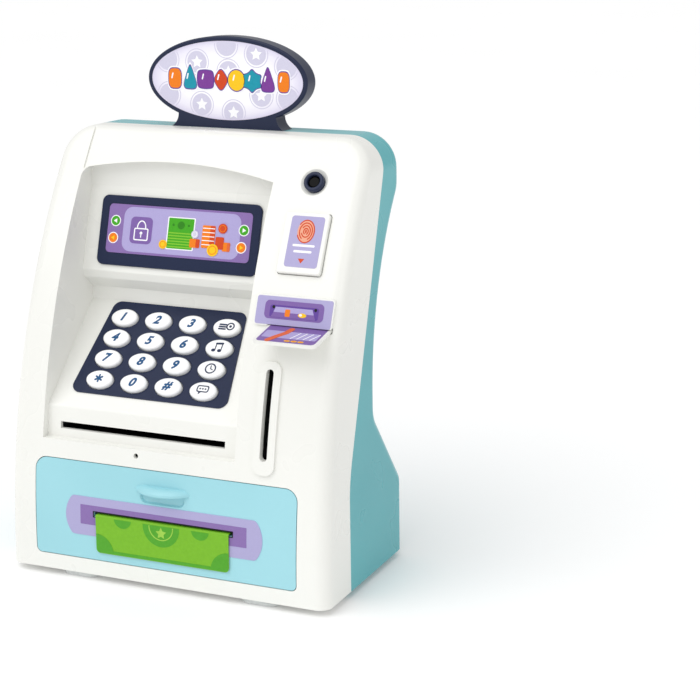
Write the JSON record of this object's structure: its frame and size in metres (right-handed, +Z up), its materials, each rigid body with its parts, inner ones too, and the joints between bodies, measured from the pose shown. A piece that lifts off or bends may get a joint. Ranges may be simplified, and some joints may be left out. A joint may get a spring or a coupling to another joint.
{
  "type": "toy cash machine savings bank",
  "caption": "Toy cash machine savings bank with keypad, screen, card reader, coin and note slots, fingerprint button and a sliding money drawer under a leaning front.",
  "frame": {"origin": "on the table plane, under the middle of the bank", "axes": "+Z up, the front with the keypad and drawer faces -Y, +X to the right seen from the front"},
  "size_m": [0.1726, 0.102, 0.2602],
  "materials": {
    "white_shell": "glossy moulded",
    "teal_shell": "glossy moulded",
    "light_blue": "satin moulded",
    "navy": "satin moulded",
    "navy_print": "printed film",
    "key_white": "glossy moulded with printed legends",
    "sign_print": "printed gloss sticker",
    "screen_print": "printed film",
    "purple_print": "printed gloss sticker",
    "card_print": "printed card",
    "note_paper": "printed play money",
    "lens": "polished dark",
    "foot_rubber": "matte",
    "grey_rubber": "matte",
    "board_green": "circuit board",
    "inner_plastic": "moulded, unpolished",
    "speaker_black": "moulded",
    "cell_wrap": "printed wrap",
    "steel": "zinc plated"
  },
  "bodies": {
    "case": {"batteries": "cell_wrap", "battery_box": "inner_plastic", "battery_contacts": "steel", "board_screws": "steel", "camera_lens": "lens", "camera_ring": "navy", "card_guide": "inner_plastic", "case_screws": "steel", "coin_chute": "inner_plastic", "display_board": "board_green", "drawer_rails": "inner_plastic", "feet": "foot_rubber", "front_shell": "white_shell", "key_membrane": "grey_rubber", "keypad_board": "board_green", "keypad_plate": "navy_print", "main_board": "board_green", "note_chute": "inner_plastic", "reader_sticker": "purple_print", "rear_shell": "teal_shell", "screen_bezel": "navy", "screen_label": "screen_print", "sign_housing": "navy", "sign_label": "sign_print", "speaker": "speaker_black", "switch_body": "speaker_black", "touch_board": "board_green"},
    "touch_plate": {"touch_button": "white_shell", "touch_sticker": "purple_print"},
    "card": {"bank_card": "card_print"},
    "money_drawer": {"drawer": "light_blue", "slot_sticker": "purple_print"},
    "note": {"banknote": "note_paper"},
    "cover": {"battery_cover": "teal_shell", "battery_screw": "steel"},
    "switch_knob": {"power_switch": "navy"},
    "body_key_0": {"key_0": "key_white"},
    "body_key_1": {"key_1": "key_white"},
    "body_key_2": {"key_2": "key_white"},
    "body_key_3": {"key_3": "key_white"},
    "body_key_4": {"key_4": "key_white"},
    "body_key_5": {"key_5": "key_white"},
    "body_key_6": {"key_6": "key_white"},
    "body_key_7": {"key_7": "key_white"},
    "body_key_8": {"key_8": "key_white"},
    "body_key_9": {"key_9": "key_white"},
    "body_key_clock": {"key_clock": "key_white"},
    "body_key_coins": {"key_coins": "key_white"},
    "body_key_hash": {"key_hash": "key_white"},
    "body_key_music": {"key_music": "key_white"},
    "body_key_star": {"key_star": "key_white"},
    "body_key_voice": {"key_voice": "key_white"}
  },
  "joints": [
    {"name": "press_key_0", "type": "slide", "parent": "case", "child": "body_key_0", "axis": [0, 0.7022, -0.712], "range_m": [0, 0.0012], "stiffness_N_per_m": 400, "springref_m": -0.0005},
    {"name": "press_key_1", "type": "slide", "parent": "case", "child": "body_key_1", "axis": [0, 0.7022, -0.712], "range_m": [0, 0.0012], "stiffness_N_per_m": 400, "springref_m": -0.0005},
    {"name": "press_key_2", "type": "slide", "parent": "case", "child": "body_key_2", "axis": [0, 0.7022, -0.712], "range_m": [0, 0.0012], "stiffness_N_per_m": 400, "springref_m": -0.0005},
    {"name": "press_key_3", "type": "slide", "parent": "case", "child": "body_key_3", "axis": [0, 0.7022, -0.712], "range_m": [0, 0.0012], "stiffness_N_per_m": 400, "springref_m": -0.0005},
    {"name": "press_key_4", "type": "slide", "parent": "case", "child": "body_key_4", "axis": [0, 0.7022, -0.712], "range_m": [0, 0.0012], "stiffness_N_per_m": 400, "springref_m": -0.0005},
    {"name": "press_key_5", "type": "slide", "parent": "case", "child": "body_key_5", "axis": [0, 0.7022, -0.712], "range_m": [0, 0.0012], "stiffness_N_per_m": 400, "springref_m": -0.0005},
    {"name": "press_key_6", "type": "slide", "parent": "case", "child": "body_key_6", "axis": [0, 0.7022, -0.712], "range_m": [0, 0.0012], "stiffness_N_per_m": 400, "springref_m": -0.0005},
    {"name": "press_key_7", "type": "slide", "parent": "case", "child": "body_key_7", "axis": [0, 0.7022, -0.712], "range_m": [0, 0.0012], "stiffness_N_per_m": 400, "springref_m": -0.0005},
    {"name": "press_key_8", "type": "slide", "parent": "case", "child": "body_key_8", "axis": [0, 0.7022, -0.712], "range_m": [0, 0.0012], "stiffness_N_per_m": 400, "springref_m": -0.0005},
    {"name": "press_key_9", "type": "slide", "parent": "case", "child": "body_key_9", "axis": [0, 0.7022, -0.712], "range_m": [0, 0.0012], "stiffness_N_per_m": 400, "springref_m": -0.0005},
    {"name": "press_key_clock", "type": "slide", "parent": "case", "child": "body_key_clock", "axis": [0, 0.7022, -0.712], "range_m": [0, 0.0012], "stiffness_N_per_m": 400, "springref_m": -0.0005},
    {"name": "press_key_coins", "type": "slide", "parent": "case", "child": "body_key_coins", "axis": [0, 0.7022, -0.712], "range_m": [0, 0.0012], "stiffness_N_per_m": 400, "springref_m": -0.0005},
    {"name": "press_key_hash", "type": "slide", "parent": "case", "child": "body_key_hash", "axis": [0, 0.7022, -0.712], "range_m": [0, 0.0012], "stiffness_N_per_m": 400, "springref_m": -0.0005},
    {"name": "press_key_music", "type": "slide", "parent": "case", "child": "body_key_music", "axis": [0, 0.7022, -0.712], "range_m": [0, 0.0012], "stiffness_N_per_m": 400, "springref_m": -0.0005},
    {"name": "press_key_star", "type": "slide", "parent": "case", "child": "body_key_star", "axis": [0, 0.7022, -0.712], "range_m": [0, 0.0012], "stiffness_N_per_m": 400, "springref_m": -0.0005},
    {"name": "press_key_voice", "type": "slide", "parent": "case", "child": "body_key_voice", "axis": [0, 0.7022, -0.712], "range_m": [0, 0.0012], "stiffness_N_per_m": 400, "springref_m": -0.0005},
    {"name": "press_touch_plate", "type": "slide", "parent": "case", "child": "touch_plate", "axis": [0, 0.8972, -0.4416], "range_m": [0, 0.0012], "stiffness_N_per_m": 500, "springref_m": -0.0005},
    {"name": "card_pull", "type": "slide", "parent": "case", "child": "card", "axis": [0, -0.9816, -0.1908], "range_m": [0, 0.025]},
    {"name": "drawer_slide", "type": "slide", "parent": "case", "child": "money_drawer", "axis": [0, -1, 0], "range_m": [0, 0.06]},
    {"name": "note_pull", "type": "slide", "parent": "money_drawer", "child": "note", "axis": [0, -1, 0], "range_m": [0, 0.014]},
    {"name": "battery_cover_lift", "type": "slide", "parent": "case", "child": "cover", "axis": [0, 1, 0], "range_m": [0, 0.015]},
    {"name": "power_switch_slide", "type": "slide", "parent": "case", "child": "switch_knob", "axis": [1, 0, 0], "range_m": [0, 0.0044]}
  ]
}
